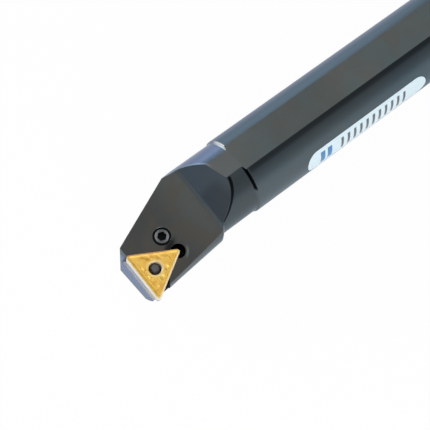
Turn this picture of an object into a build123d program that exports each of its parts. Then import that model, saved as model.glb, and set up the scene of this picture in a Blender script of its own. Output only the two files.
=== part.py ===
from build123d import *

import os
from math import cos, radians, sin, sqrt, tan

# Lever-lock boring bar, millimetres.
# The shank axis is the X axis, with the origin on it at the rear end face.
# The cutting edge is at the far end in -X, its nose points to -Y, and +Z is up.

# ---- shank ---------------------------------------------------------------------------------------
overall_length = 250.0  # rear end face to the front cutting edge
shank_diameter = 25.0
across_flats = 23.0
rear_chamfer = 1.0

# ---- neck, turned a little thinner behind the head -----------------------------------------------
neck_diameter = 24.0
neck_end = 42.1  # cutting edge to the step up to the shank
neck_start = 20.0  # inside the head
step_run = 0.4  # length of the conical step

# ---- head: a cone that is eccentric towards the nose, so that the tool clears its bore -----------
head_shift = 1.0
head_front = 0.4  # cutting edge to the head's front face
head_front_radius = 15.0
head_taper = 5.0
head_end = 27.0  # cutting edge to the start of the shoulder
shoulder_angle = 40.0
shoulder_foot_radius = 10.4
back_relief_start = 1.2  # how far the front face reaches past the axis
back_relief_angle = 20.8

# ---- insert: triangular, negative, double sided --------------------------------------------------
nose_offset = 17.0  # shank axis to the nose of the insert
approach_angle = 91.0
axial_rake = 6.0
radial_rake = 12.0
inscribed_diameter = 9.525
insert_thickness = 4.76
insert_hole_diameter = 3.81
nose_radius = 0.8
land_width = 0.3
groove_depth = 0.3
groove_wall_angle = 62.0
island_diameter = 6.2  # inscribed circle of the raised middle
island_corner_radius = 1.0
island_wall_angle = 45.0
hole_chamfer = 0.25
dimple_radius = 0.6
dimple_depth = 0.15
dimple_reach = 2.9  # hole to the pair of dimples, towards the corner
dimple_spread = 2.05  # half the distance between the two dimples of a pair

# ---- seat ----------------------------------------------------------------------------------------
face_drop = 0.4  # the insert stands this proud of the head's top face
shim_thickness = 3.18
shim_inset = 0.35
shim_corner_radius = 1.0
shim_nose_cut = 4.1  # the shim's nose corner is cut off this far from its middle
nose_turn = -120  # about the hole, from the pocket's inner corner to the nose
corner_relief_radius = 2.25
corner_relief_setback = 1.08  # centre of the relief hole behind the pocket's inner corner
wall_relief_start = 7.8  # nose to where the pocket's wall begins to lean away from the insert
wall_relief_angle = 25.0

# ---- ramp from the head's top face up to the flat ------------------------------------------------
ramp_top = 35.0  # cutting edge to the top of the ramp, over the axis
ramp_angle = 36.0
ramp_fillet = 4.0

# ---- lever, shim pin and lever screw -------------------------------------------------------------
screw_reach = 9.68  # insert hole to the screw
screw_bearing = 40.3  # from the line to the pocket's inner corner
screw_diameter = 5.1
screw_hole_clearance = 0.1
screw_height = 0.1  # screw's top above the head's top face
screw_chamfer = 0.5
screw_chamfer_length = 1.5
socket_across_flats = 2.5
socket_depth = 3.0
waist_diameter = 3.4
guide_length = 1.65
guide_chamfer = 0.4
screw_hole_chamfer = 0.15

arm_height = 2.2
arm_width = 3.0
arm_level = 11.4  # insert's top face down to the middle of the arm
arm_gap = 0.15  # arm's end to the screw's waist
groove_gap_above = 0.05
groove_gap_below = 0.25
lever_lean = 0.3  # the tightened lever stands this far off the hole's axis
lever_tip_diameter = 3.1
lever_stem_diameter = 2.8
lever_tip_depth = 1.2  # insert's top face down to the lever's tip
lever_tip_chamfer = 0.5
lever_tip_straight = 2.1
lever_tip_taper = 0.9
heel_width = 4.4  # length of the round heel on which the lever rocks

pin_diameter = 5.8
pin_wall = 0.65
pin_slit = 1.0
pin_slit_turn = 180  # about the hole, from the pocket's inner corner to the slit
pin_top_gap = 0.3  # shim pin's top below the shim's top face
pin_grip = 1.2  # shim pin's length below the shim
cavity_floor_gap = 0.2  # below the arm
cavity_roof_gap = 0.7  # above the arm, room for it to swing
cavity_side_gap = 0.3

# ---- label ---------------------------------------------------------------------------------------
label_start = 61.3  # cutting edge to the label
label_length = 49.4
label_width = 8.0
label_thickness = 0.02  # printed, so that the shank still slides into its bore
label_bearing = 83.0  # from the top flat round towards the nose side

# ---- derived places ------------------------------------------------------------------------------
tip_x = -overall_length
shank_radius = shank_diameter / 2
neck_radius = neck_diameter / 2
flat_level = across_flats / 2
insert_side = inscribed_diameter * sqrt(3)
seat_radius = inscribed_diameter / 2

# Directions of the insert's top face: along the bar, square to it, and the normal.
along = Vector(cos(radians(axial_rake)), 0, sin(radians(axial_rake)))
rake_normal = Vector(-tan(radians(axial_rake)), -tan(radians(radial_rake)), 1).normalized()
across = rake_normal.cross(along)
swing = radians(approach_angle - 90)
to_pocket_corner = along * cos(swing) - across * sin(swing)
to_back = across * cos(swing) + along * sin(swing)

# The nose is a small arc, so its sharp corner lies a little outside nose_offset.
corner_overshoot = (sqrt(3) - 1) * nose_radius
sharp_nose = Vector(
    tip_x,
    -nose_offset - corner_overshoot,
    -corner_overshoot * tan(radians(radial_rake)),
)
insert_centre = sharp_nose + to_pocket_corner * seat_radius + to_back * (insert_side / 2)

# Plane of the insert's top face: origin on the hole, local X towards the pocket's corner.
rake_plane = Plane(origin=insert_centre, x_dir=to_pocket_corner, z_dir=rake_normal)
shim_plane = rake_plane.offset(-insert_thickness)
floor_depth = insert_thickness + shim_thickness
floor_plane = rake_plane.offset(-floor_depth)

# Pocket floor again, with its origin under the sharp nose and local X along the wall on that side.
half_corner = radians(30)
nose_wall_plane = Plane(
    origin=sharp_nose - rake_normal * floor_depth,
    x_dir=to_pocket_corner * cos(half_corner) + to_back * sin(half_corner),
    z_dir=rake_normal,
)

# The lever and its screw lie in one plane through the insert's hole. Local X runs to the screw.
screw_turn = radians(screw_bearing)
to_screw = to_pocket_corner * cos(screw_turn) + to_back * sin(screw_turn)
lever_plane = Plane(origin=insert_centre, x_dir=to_screw, z_dir=rake_normal)
lever_section = Plane(origin=insert_centre, x_dir=to_screw, z_dir=to_screw.cross(rake_normal))
screw_centre = insert_centre + to_screw * screw_reach
screw_section = Plane(origin=screw_centre, x_dir=to_screw, z_dir=to_screw.cross(rake_normal))
screw_radius = screw_diameter / 2
screw_hole_radius = screw_radius + screw_hole_clearance
waist_radius = waist_diameter / 2
arm_top = -arm_level + arm_height / 2
arm_bottom = -arm_level - arm_height / 2
cavity_roof = arm_top + cavity_roof_gap
cavity_floor = arm_bottom - cavity_floor_gap
pin_radius = pin_diameter / 2
hole_top = 8.0  # cuts start this far above the insert's top face


def triangle(inscribed_radius, corner_radius):
    """Draw an equilateral triangle with rounded corners, one of them on local +X."""
    corner = 2 * inscribed_radius
    half_side = inscribed_radius * sqrt(3)
    Polygon(
        (corner, 0),
        (-inscribed_radius, half_side),
        (-inscribed_radius, -half_side),
        align=None,
    )
    fillet(vertices(), corner_radius)


# ---- bar body ------------------------------------------------------------------------------------
# The ramp and the head's top face are milled in one setting, rolled by the radial rake.
roll = radians(radial_rake)
mill_plane = Plane(origin=(0, 0, 0), x_dir=(1, 0, 0), z_dir=(0, -cos(roll), -sin(roll)))
face_point = mill_plane.to_local_coords(insert_centre - rake_normal * face_drop)
face_slope = cos(roll) * tan(radians(axial_rake))
ramp_slope = tan(radians(ramp_angle))
ramp_top_x = tip_x + ramp_top
ramp_top_y = flat_level * cos(roll)
ramp_foot_x = (face_point.Y - ramp_top_y + ramp_slope * ramp_top_x - face_slope * face_point.X) / (
    ramp_slope - face_slope
)
ramp_foot_y = ramp_top_y - ramp_slope * (ramp_top_x - ramp_foot_x)
mill_height = shank_diameter
mill_front = tip_x - shank_diameter
head_end_radius = head_front_radius - (head_end - head_front) * tan(radians(head_taper))
shoulder_run = (head_end_radius - shoulder_foot_radius) / tan(radians(shoulder_angle))

with BuildPart() as bar_body:
    with BuildSketch(Plane.XZ):
        with BuildLine():
            Polyline(
                (0, 0),
                (0, shank_radius - rear_chamfer),
                (-rear_chamfer, shank_radius),
                (tip_x + neck_end + step_run / 2, shank_radius),
                (tip_x + neck_end - step_run / 2, neck_radius),
                (tip_x + neck_start, neck_radius),
                (tip_x + neck_start, 0),
                close=True,
            )
        make_face()
    revolve(axis=Axis.X)

    # Eccentric cone of the head, with the shoulder down to the neck.
    with BuildSketch(Plane.XZ.offset(head_shift)):
        with BuildLine():
            Polyline(
                (tip_x + head_front, 0),
                (tip_x + head_front, head_front_radius),
                (tip_x + head_end, head_end_radius),
                (tip_x + head_end + shoulder_run, shoulder_foot_radius),
                (tip_x + head_end + shoulder_run, 0),
                close=True,
            )
        make_face()
    revolve(axis=Axis((0, -head_shift, 0), (1, 0, 0)))

    # Flats along the whole bar, above and below.
    split(bisect_by=Plane.XY.offset(flat_level), keep=Keep.BOTTOM)
    split(bisect_by=Plane.XY.offset(-flat_level), keep=Keep.TOP)

    # Top face of the head and the ramp behind it.
    with BuildSketch(mill_plane):
        with BuildLine():
            Polyline(
                (mill_front, face_point.Y + face_slope * (mill_front - face_point.X)),
                (ramp_foot_x, ramp_foot_y),
                (ramp_top_x + mill_height, ramp_top_y + mill_height * ramp_slope),
                (mill_front, ramp_top_y + mill_height * ramp_slope),
                close=True,
            )
        make_face()
        foot = vertices().sort_by_distance((ramp_foot_x, ramp_foot_y))[0]
        fillet(foot, ramp_fillet)
    extrude(amount=shank_diameter * 2, both=True, mode=Mode.SUBTRACT)

    # Relief along the back of the head.
    relief_reach = 2 * shank_diameter
    relief_rise = relief_reach * tan(radians(back_relief_angle))
    with BuildSketch(Plane.XY):
        Polygon(
            (tip_x + head_front - relief_reach, back_relief_start - relief_rise),
            (tip_x + head_front + relief_reach, back_relief_start + relief_rise),
            (tip_x + head_front + relief_reach, relief_reach),
            (tip_x + head_front - relief_reach, relief_reach),
            align=None,
        )
    extrude(amount=shank_diameter, both=True, mode=Mode.SUBTRACT)

    # Insert pocket: two walls that meet behind a drilled corner relief.
    with BuildSketch(floor_plane):
        pocket_corner = 2 * seat_radius
        pocket_run = insert_side
        Polygon(
            (pocket_corner, 0),
            (pocket_corner - pocket_run * sqrt(3), pocket_run),
            (pocket_corner - pocket_run * sqrt(3), -pocket_run),
            align=None,
        )
        with Locations((pocket_corner - corner_relief_setback, 0)):
            Circle(corner_relief_radius)
    extrude(amount=floor_depth + hole_top, mode=Mode.SUBTRACT)

    # Towards the nose the pocket's wall leans away from the insert.
    with BuildSketch(nose_wall_plane):
        Polygon(
            (wall_relief_start, 0),
            (-insert_side, 0),
            (-insert_side, -(wall_relief_start + insert_side) * tan(radians(wall_relief_angle))),
            align=None,
        )
    extrude(amount=floor_depth + hole_top, mode=Mode.SUBTRACT)

    # Through hole of the lever screw.
    with BuildSketch(lever_plane.offset(hole_top)):
        with Locations((screw_reach, 0)):
            Circle(screw_hole_radius)
    extrude(amount=-shank_diameter * 2, mode=Mode.SUBTRACT)
    screw_mouth = screw_centre - rake_normal * face_drop
    chamfer(edges().filter_by(GeomType.CIRCLE).sort_by_distance(screw_mouth)[0], screw_hole_chamfer)

    # Cavity of the lever: a round hole under the shim and a slot from it to the screw.
    with BuildSketch(lever_plane.offset(cavity_floor)):
        Circle(pin_radius)
    extrude(amount=-cavity_floor, mode=Mode.SUBTRACT)
    with BuildSketch(lever_plane.offset(cavity_floor)):
        with Locations((screw_reach / 2, 0)):
            Rectangle(screw_reach, arm_width + 2 * cavity_side_gap)
    extrude(amount=cavity_roof - cavity_floor, mode=Mode.SUBTRACT)

bar_body.part.label = "bar_body"

# ---- insert --------------------------------------------------------------------------------------
# Both faces are alike: a narrow land, a groove that curls the chip, and a raised middle.
dimple_ball = (dimple_radius**2 + dimple_depth**2) / (2 * dimple_depth)
dimple_centre = dimple_ball - dimple_depth - groove_depth
bottom_plane = Plane(
    origin=insert_centre - rake_normal * insert_thickness,
    x_dir=to_pocket_corner,
    z_dir=-rake_normal,
)
with BuildPart() as insert:
    with BuildSketch(rake_plane):
        triangle(seat_radius, nose_radius)
    extrude(amount=-insert_thickness)
    for face_plane in (rake_plane, bottom_plane):
        with BuildSketch(face_plane):
            triangle(seat_radius - land_width, nose_radius - land_width / 2)
        extrude(amount=-groove_depth, taper=groove_wall_angle, mode=Mode.SUBTRACT)
        with BuildSketch(face_plane):
            triangle(island_diameter / 2, island_corner_radius)
        extrude(amount=-groove_depth, taper=-island_wall_angle)
        with Locations(face_plane):
            with PolarLocations(0, 3):
                with Locations(
                    (dimple_reach, dimple_spread, dimple_centre),
                    (dimple_reach, -dimple_spread, dimple_centre),
                ):
                    Sphere(dimple_ball, mode=Mode.SUBTRACT)
    with BuildSketch(rake_plane):
        Circle(insert_hole_diameter / 2)
    extrude(amount=-insert_thickness, mode=Mode.SUBTRACT)
    top_rim = edges().filter_by(GeomType.CIRCLE).sort_by_distance(rake_plane.origin)[0]
    bottom_rim = edges().filter_by(GeomType.CIRCLE).sort_by_distance(bottom_plane.origin)[0]
    chamfer((top_rim, bottom_rim), hole_chamfer)
insert.part.label = "insert"

# ---- shim ----------------------------------------------------------------------------------------
with BuildPart() as shim:
    with BuildSketch(shim_plane):
        triangle(seat_radius - shim_inset, shim_corner_radius)
        with Locations(Rot(0, 0, nose_turn)):
            with Locations((shim_nose_cut, 0)):
                Rectangle(insert_side, insert_side, align=(Align.MIN, Align.CENTER), mode=Mode.SUBTRACT)
        Circle(pin_radius, mode=Mode.SUBTRACT)
    extrude(amount=-shim_thickness)
shim.part.label = "shim"

# ---- shim pin: a split sleeve that centres the shim ----------------------------------------------
with BuildPart() as shim_pin:
    with BuildSketch(shim_plane.offset(-pin_top_gap)):
        Circle(pin_radius)
        Circle(pin_radius - pin_wall, mode=Mode.SUBTRACT)
        with Locations(Rot(0, 0, pin_slit_turn)):
            Rectangle(pin_radius * 2, pin_slit, align=(Align.MIN, Align.CENTER), mode=Mode.SUBTRACT)
    extrude(amount=-(shim_thickness - pin_top_gap + pin_grip))
shim_pin.part.label = "shim_pin"

# ---- lever: a stem through the insert, a round heel and an arm to the screw ----------------------
tip_radius = lever_tip_diameter / 2
stem_radius = lever_stem_diameter / 2
heel_radius = arm_height / 2
arm_end = screw_reach - waist_radius - arm_gap
taper_top = -lever_tip_depth - lever_tip_straight
heel_plane = Plane(
    origin=lever_section.from_local_coords((lever_lean, -arm_level)),
    x_dir=to_screw,
    z_dir=lever_section.z_dir,
)
with BuildPart() as lever:
    with BuildSketch(lever_section):
        with BuildLine():
            Polyline(
                (lever_lean, -arm_level),
                (lever_lean + heel_radius, -arm_level),
                (lever_lean + stem_radius, cavity_roof),
                (lever_lean + stem_radius, taper_top - lever_tip_taper),
                (lever_lean + tip_radius, taper_top),
                (lever_lean + tip_radius, -lever_tip_depth - lever_tip_chamfer),
                (lever_lean + tip_radius - lever_tip_chamfer, -lever_tip_depth),
                (lever_lean, -lever_tip_depth),
                close=True,
            )
        make_face()
    revolve(axis=Axis(heel_plane.origin, rake_normal))
    with BuildSketch(heel_plane):
        Circle(heel_radius)
    extrude(amount=heel_width / 2, both=True)
    with BuildSketch(lever_plane.offset(arm_bottom)):
        with Locations((arm_end - arm_width / 2, 0)):
            Circle(arm_width / 2)
        with Locations((lever_lean, 0)):
            Rectangle(arm_end - arm_width / 2 - lever_lean, arm_width, align=(Align.MIN, Align.CENTER))
    extrude(amount=arm_height)
lever.part.label = "lever"

# ---- lever screw ---------------------------------------------------------------------------------
screw_top = -face_drop + screw_height
waist_top = arm_top + groove_gap_above
waist_bottom = arm_bottom - groove_gap_below
screw_bottom = waist_bottom - guide_length
socket_plane = Plane(
    origin=screw_centre + rake_normal * screw_top, x_dir=to_screw, z_dir=rake_normal
)
with BuildPart() as lever_screw:
    with BuildSketch(screw_section):
        with BuildLine():
            Polyline(
                (0, screw_top),
                (screw_radius - screw_chamfer, screw_top),
                (screw_radius, screw_top - screw_chamfer_length),
                (screw_radius, waist_top),
                (waist_radius, waist_top),
                (waist_radius, waist_bottom),
                (screw_radius, waist_bottom),
                (screw_radius, screw_bottom + guide_chamfer),
                (screw_radius - guide_chamfer, screw_bottom),
                (0, screw_bottom),
                close=True,
            )
        make_face()
    revolve(axis=Axis(screw_centre, rake_normal))
    with BuildSketch(socket_plane):
        RegularPolygon(socket_across_flats / 2, 6, major_radius=False)
    extrude(amount=-socket_depth, mode=Mode.SUBTRACT)
lever_screw.part.label = "lever_screw"

# ---- label: a printed panel with round ends, wrapped round the nose side -------------------------
label_radius = shank_radius + label_thickness
bearing = radians(label_bearing)
label_plane = Plane(
    origin=(tip_x + label_start + label_length / 2, 0, 0),
    x_dir=(1, 0, 0),
    z_dir=(0, -sin(bearing), cos(bearing)),
)
with BuildPart() as label:
    with BuildSketch(label_plane):
        SlotOverall(label_length, label_width)
    extrude(amount=label_radius * 2)
    with BuildSketch(Plane.YZ.offset(tip_x)):
        Circle(label_radius)
    extrude(amount=overall_length, mode=Mode.INTERSECT)
    with BuildSketch(Plane.YZ.offset(tip_x)):
        Circle(shank_radius)
    extrude(amount=overall_length, mode=Mode.SUBTRACT)
label.part.label = "label"

# ---- one file for each piece ---------------------------------------------------------------------
os.makedirs("parts", exist_ok=True)
export_step(bar_body.part, "parts/bar_body.step")
export_step(insert.part, "parts/insert.step")
export_step(shim.part, "parts/shim.step")
export_step(shim_pin.part, "parts/shim_pin.step")
export_step(lever.part, "parts/lever.step")
export_step(lever_screw.part, "parts/lever_screw.step")
export_step(label.part, "parts/label.step")
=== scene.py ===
import math

import bpy
from mathutils import Matrix, Quaternion, Vector


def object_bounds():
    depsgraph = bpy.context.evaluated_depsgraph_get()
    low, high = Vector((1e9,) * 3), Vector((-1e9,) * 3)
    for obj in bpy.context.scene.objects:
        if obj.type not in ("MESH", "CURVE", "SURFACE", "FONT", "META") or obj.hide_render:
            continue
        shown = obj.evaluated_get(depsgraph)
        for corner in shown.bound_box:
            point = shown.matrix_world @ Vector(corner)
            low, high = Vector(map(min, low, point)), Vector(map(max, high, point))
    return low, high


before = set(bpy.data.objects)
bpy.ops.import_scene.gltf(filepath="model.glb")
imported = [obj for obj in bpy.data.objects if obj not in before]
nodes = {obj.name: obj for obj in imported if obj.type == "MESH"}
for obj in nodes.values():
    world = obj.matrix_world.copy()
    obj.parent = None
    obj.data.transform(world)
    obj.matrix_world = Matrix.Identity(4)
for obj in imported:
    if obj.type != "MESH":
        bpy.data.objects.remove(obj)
cad_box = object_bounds()

# ---- camera ------------------------------------------------------------------------------
IMAGE_WIDTH = 430
SENSOR_MM = 36.0
FOCAL_PX = 1341.5
CAMERA_PLACE = Vector((-0.35021, -0.13344, 0.34955))
CAMERA_RIGHT = Vector((0.76193, -0.64581, 0.04895))
CAMERA_UP = Vector((0.55723, 0.69219, 0.45866))


def make_camera():
    """Place the camera with its right and up directions in the row frame."""
    right = CAMERA_RIGHT.normalized()
    back = right.cross(CAMERA_UP).normalized()
    up = back.cross(right)
    data = bpy.data.cameras.new("camera")
    data.sensor_width = SENSOR_MM
    data.lens = FOCAL_PX / IMAGE_WIDTH * SENSOR_MM
    data.clip_start = 0.01
    data.clip_end = 20.0
    camera = bpy.data.objects.new("camera", data)
    turn = Matrix((right, up, back)).transposed().to_4x4()
    camera.matrix_world = Matrix.Translation(CAMERA_PLACE) @ turn
    bpy.context.scene.collection.objects.link(camera)
    bpy.context.scene.camera = camera


# ---- places on the tool, in metres in the row frame ----------------------------------------
# The axis of the bar runs along X, from the head to the middle of the rear end.
REAR_CENTRE = (0.0, 0.0, 0.0)
BAR_AXIS = (1.0, 0.0, 0.0)

# The top of the head and everything set in it lean forward and to the nose side.
FORWARD_RAKE = math.radians(6.0)
SIDE_RAKE = math.radians(12.0)
RAKE_NORMAL = Vector((-math.tan(FORWARD_RAKE), -math.tan(SIDE_RAKE), 1.0)).normalized()
ACROSS_TOP = (0.76, -0.64, -0.056)

# The insert: the centre of its top, the directions out through its three edges, and how far
# from the centre the bands of painted highlight and painted shade along those edges lie.
INSERT_TOP = (-0.245298, -0.009598, 0.002068)
THIRD_TURN = math.radians(120.0)
FRONT_EDGE_OUT = Vector((-0.99475, 0.01708, -0.10093))
NOSE_EDGE_OUT = Quaternion(RAKE_NORMAL, THIRD_TURN) @ FRONT_EDGE_OUT
WALL_EDGE_OUT = Quaternion(RAKE_NORMAL, -THIRD_TURN) @ FRONT_EDGE_OUT
EDGE_LIGHT_AND_SHADE_BAND = (0.0043, 0.0050)
RIM_SHADE_BAND = (0.0045, 0.0050)

# The relief hole behind the insert with its rim, and the lever screw with its socket.
RELIEF = (-0.236897, -0.009742, 0.002920)
RELIEF_RADIUS = 0.0024
RELIEF_RIM = 0.0007
SCREW_TOP = (-0.237950, -0.003537, 0.003820)
SOCKET_RADIUS = 0.0015

# The ramp from the head up to the neck, the step from the neck to the shank, and how wide the
# pale band on edges is, partly wear and partly painted highlight.
RAMP_POINT = (-0.215, 0.0, 0.0115)
RAMP_NORMAL = (-0.58779, -0.16820, 0.79135)
RAMP_FOOT = -0.2225
STEP_FRONT = -0.20835
STEP_BACK = -0.20750
WEAR_AND_SHINE_WIDTH = 0.00025

# The label: where it starts along the bar, how far round the bar its middle lies, and how far
# its print reaches to either side of that, in radians. Blue bars and marks count from its start.
LABEL_START = -0.1887
LABEL_BEARING = math.radians(83.0)
PRINT_REACH = 0.20
PRINT_BLOCK = (0.0052, 0.0098)
PRINT_SLOT = (0.0070, 0.0080)
MARK_ROW = (0.0122, 0.0410)
MARK_PITCH = 0.0026
MARK = (0.0006, 0.0016)


# ---- shader helpers ------------------------------------------------------------------------
def opaque(colour):
    """A colour's three values with full alpha; a socket stays as it is."""
    if isinstance(colour, bpy.types.NodeSocket):
        return colour
    return tuple(colour) + (1.0,)


class Shader:
    """A material whose nodes are added in short calls."""

    def __init__(self, name):
        self.material = bpy.data.materials.new(name)
        self.material.use_nodes = True
        self.tree = self.material.node_tree
        self.tree.nodes.clear()
        self.output = self.add("ShaderNodeOutputMaterial")
        self.coordinates = self.add("ShaderNodeTexCoord").outputs["Object"]

    def add(self, kind, **values):
        node = self.tree.nodes.new(kind)
        for name, value in values.items():
            setattr(node, name, value)
        return node

    def link(self, source, target):
        self.tree.links.new(source, target)

    def feed(self, socket, value):
        if isinstance(value, bpy.types.NodeSocket):
            self.link(value, socket)
        else:
            socket.default_value = value

    def math(self, operation, first, second=0.0, clamp=False):
        node = self.add("ShaderNodeMath", operation=operation, use_clamp=clamp)
        self.feed(node.inputs[0], first)
        self.feed(node.inputs[1], second)
        return node.outputs[0]

    def vector_math(self, operation, first, second):
        node = self.add("ShaderNodeVectorMath", operation=operation)
        self.feed(node.inputs[0], first)
        self.feed(node.inputs[1], second)
        return node

    def split(self, vector):
        """The X, Y and Z sockets of a vector."""
        node = self.add("ShaderNodeSeparateXYZ")
        self.link(vector, node.inputs[0])
        return node.outputs["X"], node.outputs["Y"], node.outputs["Z"]

    def face_normal(self):
        return self.add("ShaderNodeNewGeometry").outputs["True Normal"]

    def lean(self, direction):
        """How far a face looks along the direction: 1 straight along it, 0 square to it."""
        return self.vector_math("DOT_PRODUCT", self.face_normal(), direction).outputs["Value"]

    def noise(self, scale, detail=4.0, stretch=(1.0, 1.0, 1.0)):
        mapping = self.add("ShaderNodeMapping")
        mapping.inputs["Scale"].default_value = stretch
        self.link(self.coordinates, mapping.inputs["Vector"])
        node = self.add("ShaderNodeTexNoise")
        node.inputs["Scale"].default_value = scale
        node.inputs["Detail"].default_value = detail
        self.link(mapping.outputs[0], node.inputs["Vector"])
        return node.outputs["Fac"]

    def ramp(self, factor, *stops):
        node = self.add("ShaderNodeValToRGB")
        while len(node.color_ramp.elements) < len(stops):
            node.color_ramp.elements.new(1.0)
        for element, (place, colour) in zip(node.color_ramp.elements, stops):
            element.position = place
            element.color = opaque(colour)
        self.feed(node.inputs[0], factor)
        return node.outputs[0]

    def mix(self, factor, first, second):
        node = self.add("ShaderNodeMix", data_type="RGBA", blend_type="MIX")
        self.feed(node.inputs[0], factor)
        self.feed(node.inputs[6], opaque(first))
        self.feed(node.inputs[7], opaque(second))
        return node.outputs[2]

    def paint(self, colour, tone, *masks):
        """The colour with the tone over it, as strong as the product of the masks."""
        return self.mix(self.times(*masks), colour, tone)

    def scale(self, value, low, high):
        node = self.add("ShaderNodeMapRange")
        node.inputs["To Min"].default_value = low
        node.inputs["To Max"].default_value = high
        self.link(value, node.inputs["Value"])
        return node.outputs[0]

    def bump(self, height, strength, distance):
        node = self.add("ShaderNodeBump")
        node.inputs["Strength"].default_value = strength
        node.inputs["Distance"].default_value = distance
        self.link(height, node.inputs["Height"])
        return node.outputs[0]

    def blend_value(self, factor, first, second):
        node = self.add("ShaderNodeMix", data_type="FLOAT")
        self.feed(node.inputs[0], factor)
        self.feed(node.inputs[2], first)
        self.feed(node.inputs[3], second)
        return node.outputs[0]

    def plane_distance(self, point, normal):
        """Signed distance in metres from the plane, along its normal."""
        offset = self.vector_math("SUBTRACT", self.coordinates, point)
        return self.vector_math("DOT_PRODUCT", offset.outputs[0], normal).outputs["Value"]

    def axis_distance(self, point, axis):
        """Distance in metres from the line through the point."""
        offset = self.vector_math("SUBTRACT", self.coordinates, point)
        cross = self.vector_math("CROSS_PRODUCT", offset.outputs[0], axis)
        length = self.add("ShaderNodeVectorMath", operation="LENGTH")
        self.link(cross.outputs[0], length.inputs[0])
        return length.outputs["Value"]

    def times(self, *factors):
        total = factors[0]
        for factor in factors[1:]:
            total = self.math("MULTIPLY", total, factor)
        return total

    def step_up(self, value, start, end):
        """0 below start and 1 above end, smooth between them; start may be the larger."""
        node = self.add("ShaderNodeMapRange", interpolation_type="SMOOTHSTEP")
        node.inputs["From Min"].default_value = start
        node.inputs["From Max"].default_value = end
        self.link(value, node.inputs["Value"])
        return node.outputs[0]

    def band(self, value, low, high, soft):
        """1 from low to high and 0 outside, with edges as wide as soft."""
        rise = self.step_up(value, low - soft / 2, low + soft / 2)
        fall = self.step_up(value, high + soft / 2, high - soft / 2)
        return self.math("MULTIPLY", rise, fall)

    def edge_wear_and_shine(self, radius, low, high):
        """1 on sharp edges and 0 away from them."""
        bevel = self.add("ShaderNodeBevel", samples=6)
        bevel.inputs["Radius"].default_value = radius
        geometry = self.add("ShaderNodeNewGeometry")
        dot = self.vector_math("DOT_PRODUCT", bevel.outputs[0], geometry.outputs["Normal"])
        bend = self.math("SUBTRACT", 1.0, dot.outputs["Value"])
        node = self.add("ShaderNodeMapRange")
        node.inputs["From Min"].default_value = low
        node.inputs["From Max"].default_value = high
        self.link(bend, node.inputs["Value"])
        return node.outputs[0]

    def principled(self, **sockets):
        node = self.add("ShaderNodeBsdfPrincipled")
        for name, value in sockets.items():
            self.feed(node.inputs[name.replace("_", " ")], value)
        self.link(node.outputs[0], self.output.inputs["Surface"])


def dress(node_name, material):
    """Give the piece one material."""
    mesh = nodes[node_name].data
    mesh.materials.clear()
    mesh.materials.append(material)


# ---- blackened steel of the bar --------------------------------------------------------------
class Surface:
    """Where a point of the bar lies, which way its face looks, and masks made from both."""

    def __init__(self, shader):
        self.along, self.aside, self.height = shader.split(shader.coordinates)
        self.face_x, self.face_y, face_z = shader.split(shader.face_normal())
        self.lean = shader.lean(RAKE_NORMAL)
        self.on_top = shader.math("GREATER_THAN", self.lean, 0.9975)
        self.level = shader.math("ABSOLUTE", face_z)
        self.on_flat = shader.math("GREATER_THAN", self.level, 0.95)
        self.below_flat = shader.step_up(self.height, 0.01148, 0.01136)
        self.nose_side = shader.step_up(self.aside, 0.0005, -0.003)
        self.far_side = shader.step_up(self.aside, 0.0005, 0.003)
        self.on_neck = shader.step_up(self.along, STEP_BACK, STEP_FRONT)
        self.from_insert_top = shader.plane_distance(INSERT_TOP, RAKE_NORMAL)
        deep = shader.step_up(self.from_insert_top, -0.0070, -0.0076)
        self.ledge = shader.times(deep, shader.math("GREATER_THAN", self.lean, 0.99))
        self.from_relief = shader.axis_distance(RELIEF, RAKE_NORMAL)


def tint_top(shader, at, colour, blotch):
    """The milled top of the head is patchy and browner, and darker towards its tip."""
    tip = shader.times(shader.step_up(at.along, -0.224, -0.238), 0.9)
    top_colour = shader.mix(tip, (0.112, 0.130, 0.130), (0.068, 0.076, 0.078))
    top_colour = shader.paint(top_colour, (0.092, 0.098, 0.092), blotch)
    top_colour = shader.paint(top_colour, (0.0, 0.0, 0.0), tip, 0.22)
    patchy = shader.step_up(shader.noise(170.0, detail=2.0), 0.40, 0.66)
    top_colour = shader.paint(top_colour, (0.110, 0.094, 0.080), patchy, 0.30)
    colour = shader.paint(colour, top_colour, at.on_top, 0.85)
    return shader.paint(colour, (0.105, 0.090, 0.075), at.on_flat, patchy, 0.22)


def paint_shadow_and_highlight_by_relief(shader, at, colour):
    """The top carries painted shadow before the relief hole, and a soft painted highlight on its
    rim beyond the hole.
    """
    past_hole = shader.plane_distance(RELIEF, ACROSS_TOP)
    rim_end = RELIEF_RADIUS + RELIEF_RIM
    near_hole = shader.step_up(at.from_relief, 2 * RELIEF_RADIUS, rim_end)
    before_hole = shader.step_up(past_hole, -0.0002, -0.0020)
    # Painted shadow on the top before the hole.
    colour = shader.paint(colour, (0.010, 0.010, 0.010), at.on_top, near_hole, before_hole, 0.85)
    # Painted highlight on the rim beyond the hole.
    on_rim = shader.band(at.from_relief, RELIEF_RADIUS, rim_end, 0.0006)
    beyond_hole = shader.step_up(past_hole, 0.0021, 0.0027)
    return shader.paint(colour, (0.150, 0.180, 0.190), at.on_top, on_rim, beyond_hole)


def paint_reflection_on_front(shader, at, colour):
    """The front face carries a painted reflection that makes it paler and bluer, and painted shade
    at its upper end.
    """
    faces_front = shader.math("LESS_THAN", at.face_x, -0.9)
    shaded_upper = shader.step_up(at.height, -0.002, 0.0015)
    front_reflection = shader.mix(shaded_upper, (0.175, 0.220, 0.335), (0.085, 0.100, 0.112))
    return shader.paint(colour, front_reflection, faces_front)


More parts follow.
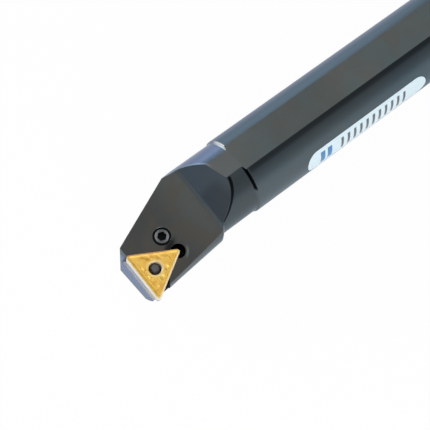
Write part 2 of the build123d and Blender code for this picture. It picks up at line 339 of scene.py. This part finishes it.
def paint_light_on_ledge(shader, at, colour):
    """The pocket floor carries painted light: blue-grey in front of the insert and pale under its
    edge, with painted black shade within.
    """
    outer = shader.step_up(shader.plane_distance(INSERT_TOP, FRONT_EDGE_OUT), 0.0046, 0.0050)
    ledge_light = shader.mix(outer, (0.58, 0.58, 0.56), (0.33, 0.37, 0.50))
    # Painted black shade within, under the insert.
    shaded_within = shader.step_up(at.along, -0.2475, -0.2465)
    ledge_light = shader.paint(ledge_light, (0.02, 0.02, 0.02), shaded_within)
    return shader.paint(colour, ledge_light, at.ledge)


def shade_sweep(shader, at, colour):
    """The round sweep between the top face and the ramp is painted darker than both, as painted
    shade.
    """
    turning = shader.band(at.lean, 0.885, 0.997, 0.02)
    behind_screw = shader.step_up(at.along, -0.232, -0.230)
    to_front = shader.math("LESS_THAN", at.face_x, -0.105)
    return shader.paint(colour, (0.040, 0.046, 0.050), turning, behind_screw, to_front, 0.55)


def paint_reflection_far_side(shader, at, colour):
    """Painted reflection: a blue sheen is painted over the upper far side, darker beside the flat
    and paler outward, and paler on the neck than on the shank.
    """
    from_axis = shader.axis_distance(REAR_CENTRE, BAR_AXIS)
    round_aside = shader.math("DIVIDE", at.aside, from_axis)
    round_up = shader.math("DIVIDE", at.height, from_axis)
    faces_away = shader.step_up(at.face_y, 0.20, 0.28)
    upper = shader.step_up(round_up, 0.05, 0.40)
    shank_sheen = shader.ramp(
        round_aside,
        (0.38, (0.062, 0.078, 0.076)),
        (0.62, (0.072, 0.100, 0.114)),
        (0.77, (0.118, 0.148, 0.198)),
        (0.90, (0.140, 0.170, 0.225)),
    )
    neck_sheen = shader.ramp(
        round_aside,
        (0.30, (0.098, 0.122, 0.135)),
        (0.60, (0.130, 0.160, 0.230)),
        (0.78, (0.185, 0.215, 0.305)),
        (0.88, (0.270, 0.295, 0.390)),
    )
    sheen = shader.mix(at.on_neck, shank_sheen, neck_sheen)
    return shader.paint(colour, sheen, faces_away, upper)


def tint_flats(shader, at, colour):
    """The flat is bluer on the neck, and a little darker over the first part of the shank."""
    neck_flat = shader.times(at.on_flat, at.on_neck, shader.step_up(at.height, 0.01130, 0.01140))
    colour = shader.paint(colour, (0.128, 0.148, 0.168), neck_flat, 0.6)
    darker_part = shader.band(at.along, -0.197, -0.167, 0.014)
    return shader.paint(colour, (0.02, 0.02, 0.02), at.on_flat, darker_part, 0.14)


def tint_ramp_and_nose_wall(shader, at, colour):
    """The ramp is bluer, and the nose-side wall of the head is painted darker and browner as
    painted shade.
    """
    on_ramp = shader.math("GREATER_THAN", shader.lean(RAMP_NORMAL), 0.99)
    colour = shader.paint(colour, (0.045, 0.045, 0.100), on_ramp, 0.16)
    # Painted shade on the nose-side wall of the head.
    shaded_nose_wall = shader.math("LESS_THAN", at.face_y, -0.97)
    on_head = shader.math("LESS_THAN", at.along, RAMP_FOOT)
    return shader.paint(colour, (0.085, 0.080, 0.072), shaded_nose_wall, on_head, 0.5)


def shade_nose_side(shader, at, colour):
    """On the nose side the shank is painted black along the edge of its flat as painted shade, and
    the neck is darker lower down.
    """
    beside_flat = shader.band(at.height, 0.0107, 0.0118, 0.0008)
    on_shank = shader.step_up(at.along, STEP_BACK, -0.2065)
    off_flat = shader.math("LESS_THAN", at.level, 0.95)
    edge = shader.times(beside_flat, at.nose_side, on_shank, off_flat, 0.6)
    colour = shader.paint(colour, (0.020, 0.020, 0.024), edge)
    neck = shader.band(at.along, RAMP_FOOT + 0.0005, -0.2083, 0.001)
    lower = shader.step_up(at.height, 0.0112, 0.0085)
    return shader.paint(colour, (0.03, 0.035, 0.04), neck, at.nose_side, lower, 0.38)


def find_lit_and_shaded_lines(shader, at):
    """Masks for the painted shade on the step's root and the ramp's rim, and for the painted
    highlight on each of them.
    """
    root = shader.band(at.along, STEP_FRONT, STEP_BACK, 0.0003)
    low_end = shader.step_up(at.height, 0.0062, 0.0072)
    dark_root = shader.times(root, at.nose_side, at.below_flat, low_end)
    from_ramp = shader.plane_distance(RAMP_POINT, RAMP_NORMAL)
    behind_foot = shader.step_up(at.along, RAMP_FOOT - 0.001, RAMP_FOOT)
    rim = shader.band(from_ramp, -0.00075, -0.00012, 0.0002)
    dark_rim = shader.times(rim, behind_foot, at.below_flat, 0.9, at.nose_side)
    dark = shader.math("MAXIMUM", dark_root, dark_rim)
    high_end = shader.step_up(at.height, 0.0070, 0.0095)
    root_highlight = shader.times(root, at.far_side, at.below_flat, high_end)
    thin_rim = shader.band(from_ramp, -0.0005, -0.0001, 0.0002)
    rim_highlight = shader.times(thin_rim, behind_foot, shader.step_up(at.aside, 0.001, 0.005))
    return dark, root_highlight, rim_highlight


def tint_relief(shader, at, colour):
    """No light finds its way into the relief hole behind the insert."""
    inside = shader.math("LESS_THAN", at.from_relief, RELIEF_RADIUS)
    deep = shader.step_up(at.from_insert_top, -0.0005, -0.0009)
    return shader.paint(colour, (0.006, 0.005, 0.004), inside, deep, 0.92)


def black_steel():
    """Blackened steel: turned rings round the bar, milled lines on the flat faces; its colour also
    carries painted shade, painted highlights and painted reflections.
    """
    shader = Shader("black_steel")
    blotch = shader.noise(55.0, detail=3.0)
    rings = shader.noise(1.0, detail=3.0, stretch=(9000.0, 60.0, 60.0))
    milled = shader.noise(1.0, detail=2.0, stretch=(90.0, 5000.0, 90.0))
    grain = shader.noise(2600.0, detail=3.0)
    at = Surface(shader)
    colour = shader.ramp(
        blotch,
        (0.32, (0.092, 0.126, 0.146)),
        (0.52, (0.100, 0.130, 0.145)),
        (0.70, (0.110, 0.132, 0.140)),
    )
    colour = tint_top(shader, at, colour, blotch)
    colour = paint_shadow_and_highlight_by_relief(shader, at, colour)
    colour = paint_reflection_on_front(shader, at, colour)
    colour = paint_light_on_ledge(shader, at, colour)
    colour = shade_sweep(shader, at, colour)
    colour = paint_reflection_far_side(shader, at, colour)
    colour = tint_flats(shader, at, colour)
    colour = tint_ramp_and_nose_wall(shader, at, colour)
    colour = shade_nose_side(shader, at, colour)

    # Painted shade and painted highlight: the root and the rim are painted dark on the nose side
    # and bright on the far side.
    dark, root_highlight, rim_highlight = find_lit_and_shaded_lines(shader, at)
    colour = shader.paint(colour, (0.002, 0.003, 0.004), dark)
    colour = shader.paint(colour, (0.52, 0.53, 0.50), root_highlight)
    colour = shader.paint(colour, (0.20, 0.24, 0.28), rim_highlight)
    colour = tint_relief(shader, at, colour)

    # Edges are painted pale, partly as wear and partly as painted highlight, but not along the
    # dark lines.
    wear_and_shine = shader.edge_wear_and_shine(WEAR_AND_SHINE_WIDTH, 0.06, 0.25)
    wear_and_shine_left = shader.math("SUBTRACT", 0.45, dark, clamp=True)
    colour = shader.paint(colour, (0.24, 0.26, 0.28), wear_and_shine, wear_and_shine_left)

    # Tool marks and grain roughen it; the pocket floor's ledge is duller and has no marks.
    tool_marks = shader.blend_value(at.on_flat, rings, milled)
    marks = shader.math("ADD", tool_marks, shader.times(grain, 0.6))
    marks = shader.times(marks, shader.math("SUBTRACT", 1.0, at.ledge))
    roughness = shader.scale(grain, 0.34, 0.44)
    shader.principled(
        Base_Color=colour,
        Metallic=shader.math("SUBTRACT", 0.95, shader.times(at.ledge, 0.7)),
        Specular_Tint=(0.84, 0.91, 1.0, 1.0),
        Roughness=shader.math("ADD", roughness, shader.times(at.ledge, 0.3)),
        Normal=shader.bump(marks, 0.12, 0.00002),
    )
    return shader.material


# ---- other materials -------------------------------------------------------------------------
def gold_carbide():
    """Gold coating on sintered carbide: uneven, pale round the hole, with a painted highlight and
    painted shade along two edges and a painted reflection on the flanks that fades.
    """
    shader = Shader("gold_carbide")
    blotch = shader.noise(420.0, detail=3.0)
    grain = shader.noise(7000.0, detail=2.0)
    colour = shader.ramp(
        blotch,
        (0.30, (0.72, 0.41, 0.07)),
        (0.46, (0.86, 0.54, 0.09)),
        (0.72, (0.90, 0.62, 0.15)),
    )
    height = shader.plane_distance(INSERT_TOP, RAKE_NORMAL)
    from_hole = shader.vector_math("DISTANCE", shader.coordinates, INSERT_TOP).outputs["Value"]
    halo = shader.band(from_hole, 0.0019, 0.0026, 0.0005)
    near_top = shader.step_up(height, -0.0010, -0.0006)
    colour = shader.paint(colour, (0.92, 0.76, 0.42), halo, near_top, 0.5)

    # The edge on the nose side carries a painted highlight, and the one at the pocket's wall
    # painted brown shade in patches.
    to_nose_side = shader.plane_distance(INSERT_TOP, NOSE_EDGE_OUT)
    edge_highlight = shader.band(to_nose_side, *EDGE_LIGHT_AND_SHADE_BAND, 0.0002)
    colour = shader.paint(colour, (0.95, 0.86, 0.66), edge_highlight, 0.8)
    to_wall = shader.plane_distance(INSERT_TOP, WALL_EDGE_OUT)
    wall_edge_shade = shader.band(to_wall, *EDGE_LIGHT_AND_SHADE_BAND, 0.0003)
    patchy = shader.step_up(shader.noise(260.0, detail=2.0), 0.42, 0.58)
    colour = shader.paint(colour, (0.50, 0.22, 0.08), wall_edge_shade, patchy, 0.65)
    wall_rim_shade = shader.band(to_wall, *RIM_SHADE_BAND, 0.0002)
    colour = shader.paint(colour, (0.30, 0.15, 0.07), wall_rim_shade, 0.45)
    spots = shader.step_up(shader.noise(300.0, detail=1.0), 0.60, 0.72)
    colour = shader.paint(colour, (0.62, 0.30, 0.07), spots, 0.45)

    # The flanks carry a painted reflection, pale gold above and grey below.
    flank = shader.math("LESS_THAN", shader.math("ABSOLUTE", shader.lean(RAKE_NORMAL)), 0.2)
    low = shader.step_up(height, -0.0026, -0.0042)
    flank_reflection = shader.mix(low, (0.88, 0.80, 0.62), (0.42, 0.46, 0.54))
    colour = shader.paint(colour, flank_reflection, flank)
    shader.principled(
        Base_Color=colour,
        Metallic=0.30,
        Roughness=shader.scale(grain, 0.36, 0.48),
        Normal=shader.bump(grain, 0.08, 0.00001),
    )
    return shader.material


def plain_steel(name, colour, roughness):
    """Uncoated steel with a fine grain."""
    shader = Shader(name)
    grain = shader.noise(1800.0)
    tone = shader.mix(grain, tuple(c * 0.8 for c in colour), colour)
    shader.principled(
        Base_Color=tone,
        Metallic=0.9,
        Roughness=shader.scale(grain, roughness - 0.06, roughness + 0.06),
    )
    return shader.material


def shim_carbide():
    """Ground carbide, blue-grey and matte, paler towards the insert; the blue-grey is painted
    light where the shim sits in shade, and the paler part a painted reflection.
    """
    shader = Shader("shim_carbide")
    grain = shader.noise(2200.0)
    tone = shader.mix(grain, (0.30, 0.34, 0.45), (0.36, 0.41, 0.54))
    # Painted reflection: paler towards the insert.
    upper = shader.step_up(shader.plane_distance(INSERT_TOP, RAKE_NORMAL), -0.0066, -0.0056)
    tone = shader.paint(tone, (0.62, 0.60, 0.56), upper)
    shader.principled(Base_Color=tone, Metallic=0.2, Roughness=shader.scale(grain, 0.45, 0.6))
    return shader.material


def screw_steel():
    """Blackened screw whose ring carries a painted highlight at two sides; its socket is painted
    dark as painted shade.
    """
    shader = Shader("screw_steel")
    grain = shader.noise(1800.0)
    # Painted highlight on the ring at two sides.
    across = shader.math("ABSOLUTE", shader.plane_distance(SCREW_TOP, ACROSS_TOP))
    shine = shader.step_up(across, 0.0004, 0.0021)
    tone = shader.mix(shine, (0.10, 0.115, 0.125), (0.29, 0.31, 0.33))
    tone = shader.paint(tone, (0.15, 0.16, 0.17), grain, 0.5)
    # Painted shade in the socket.
    depth = shader.plane_distance(SCREW_TOP, RAKE_NORMAL)
    from_axis = shader.axis_distance(SCREW_TOP, RAKE_NORMAL)
    inside = shader.math("LESS_THAN", from_axis, SOCKET_RADIUS)
    below = shader.step_up(depth, -0.00005, -0.0003)
    tone = shader.paint(tone, (0.006, 0.008, 0.010), inside, below)
    shader.principled(Base_Color=tone, Metallic=0.9, Roughness=shader.scale(grain, 0.28, 0.40))
    return shader.material


def label_film():
    """Pale printed panel with two short blue bars and a row of grey marks."""
    shader = Shader("label_film")
    grain = shader.noise(900.0)
    tone = shader.mix(grain, (0.70, 0.86, 0.94), (0.78, 0.90, 0.95))
    along, aside, height = shader.split(shader.coordinates)
    drop = shader.math("ARCTAN2", shader.math("MULTIPLY", aside, -1.0), height)
    round_way = shader.math("SUBTRACT", drop, LABEL_BEARING)
    print_width = shader.band(round_way, -PRINT_REACH, PRINT_REACH, 0.02)

    def print_along(first, last):
        return shader.band(along, LABEL_START + first, LABEL_START + last, 0.0003)

    bars = shader.math("SUBTRACT", print_along(*PRINT_BLOCK), print_along(*PRINT_SLOT), clamp=True)
    tone = shader.paint(tone, (0.05, 0.22, 0.48), bars, print_width)

    cell = shader.math("MODULO", shader.math("SUBTRACT", along, LABEL_START), MARK_PITCH)
    mark = shader.band(cell, *MARK, 0.0003)
    tone = shader.paint(tone, (0.09, 0.11, 0.13), mark, print_along(*MARK_ROW), print_width)
    shader.principled(Base_Color=tone, Roughness=0.35)
    return shader.material


# ---- stage -------------------------------------------------------------------------------------
FLOOR_HALF_SIZE = 3.0
FLOOR_GAP = 0.00002
WHITE_SHARE = 0.97
HEAD = Vector((-0.235, 0.0, 0.0))

# Each lamp's name, azimuth and elevation in degrees, distance, width, height, radiance, colour.
LAMPS = (
    ("back", 38, 58, 1.0, 0.75, 0.75, 1.00, (1.0, 0.88, 0.74)),
    ("top", 180, 86, 1.1, 0.55, 0.55, 0.78, (1.0, 0.86, 0.78)),
    ("left", 66, 12, 1.0, 0.5, 0.4, 3.2, (0.70, 0.80, 1.0)),
    ("window", 118, 16, 1.0, 0.55, 0.5, 5.0, (0.93, 0.97, 1.0)),
    ("front", 176, 48, 1.0, 0.55, 0.6, 0.30, (0.86, 0.90, 1.0)),
    ("fill", -130, 50, 1.1, 0.6, 0.6, 5.0, (1.0, 0.97, 0.95)),
    ("right", -101, 11, 1.0, 0.55, 0.38, 5.0, (0.93, 0.98, 1.0)),
    ("low_right", -60, 6, 1.0, 0.5, 0.2, 1.1, (0.80, 0.92, 1.0)),
    ("mid_right", -56, 25, 1.1, 0.6, 0.32, 0.36, (1.0, 0.94, 0.90)),
)


def make_floor():
    """White floor that looks white to the camera and in reflections, and keeps the shadow."""
    low = cad_box[0]
    size = FLOOR_HALF_SIZE
    mesh = bpy.data.meshes.new("floor")
    corners = [(-size, -size, 0), (size, -size, 0), (size, size, 0), (-size, size, 0)]
    mesh.from_pydata(corners, [], [(0, 1, 2, 3)])
    floor = bpy.data.objects.new("floor", mesh)
    floor.location.z = low[2] - FLOOR_GAP
    bpy.context.scene.collection.objects.link(floor)
    shader = Shader("floor")
    diffuse = shader.add("ShaderNodeBsdfDiffuse")
    diffuse.inputs["Color"].default_value = (0.90, 0.92, 0.94, 1.0)
    glow = shader.add("ShaderNodeEmission")
    glow.inputs["Color"].default_value = (1.0, 1.0, 1.0, 1.0)
    rays = shader.add("ShaderNodeLightPath").outputs
    seen = shader.math("MAXIMUM", rays["Is Camera Ray"], rays["Is Glossy Ray"])
    seen = shader.math("MAXIMUM", seen, rays["Is Transmission Ray"])
    mixer = shader.add("ShaderNodeMixShader")
    shader.link(shader.math("MULTIPLY", seen, WHITE_SHARE), mixer.inputs[0])
    shader.link(diffuse.outputs[0], mixer.inputs[1])
    shader.link(glow.outputs[0], mixer.inputs[2])
    shader.link(mixer.outputs[0], shader.output.inputs["Surface"])
    mesh.materials.append(shader.material)


def make_world():
    """Plain dim grey all round."""
    world = bpy.data.worlds.new("world")
    world.use_nodes = True
    background = world.node_tree.nodes["Background"]
    background.inputs["Color"].default_value = (0.13, 0.145, 0.165, 1.0)
    background.inputs["Strength"].default_value = 1.0
    bpy.context.scene.world = world


def soft_panel(name, azimuth, elevation, distance, width, height, radiance, colour):
    """Area light that faces the head; its radiance is what a mirror would show of it."""
    turn = math.radians(azimuth)
    rise = math.radians(elevation)
    flat = math.cos(rise)
    away = Vector((flat * math.cos(turn), flat * math.sin(turn), math.sin(rise)))
    data = bpy.data.lights.new(name, "AREA")
    data.shape = "RECTANGLE"
    data.size = width
    data.size_y = height
    data.energy = radiance * math.pi * width * height
    data.color = colour
    light = bpy.data.objects.new(name, data)
    light.location = HEAD + away * distance
    light.rotation_euler = (-away).to_track_quat("-Z", "Y").to_euler()
    bpy.context.scene.collection.objects.link(light)


make_camera()
make_floor()
make_world()
for lamp in LAMPS:
    soft_panel(*lamp)

dress("bar_body", black_steel())
dress("insert", gold_carbide())
dress("shim", shim_carbide())
dress("shim_pin", plain_steel("small_steel", (0.36, 0.36, 0.38), 0.30))
dress("lever", plain_steel("lever_steel", (0.15, 0.15, 0.16), 0.35))
dress("lever_screw", screw_steel())
dress("label", label_film())

bpy.context.scene.view_settings.view_transform = "Standard"
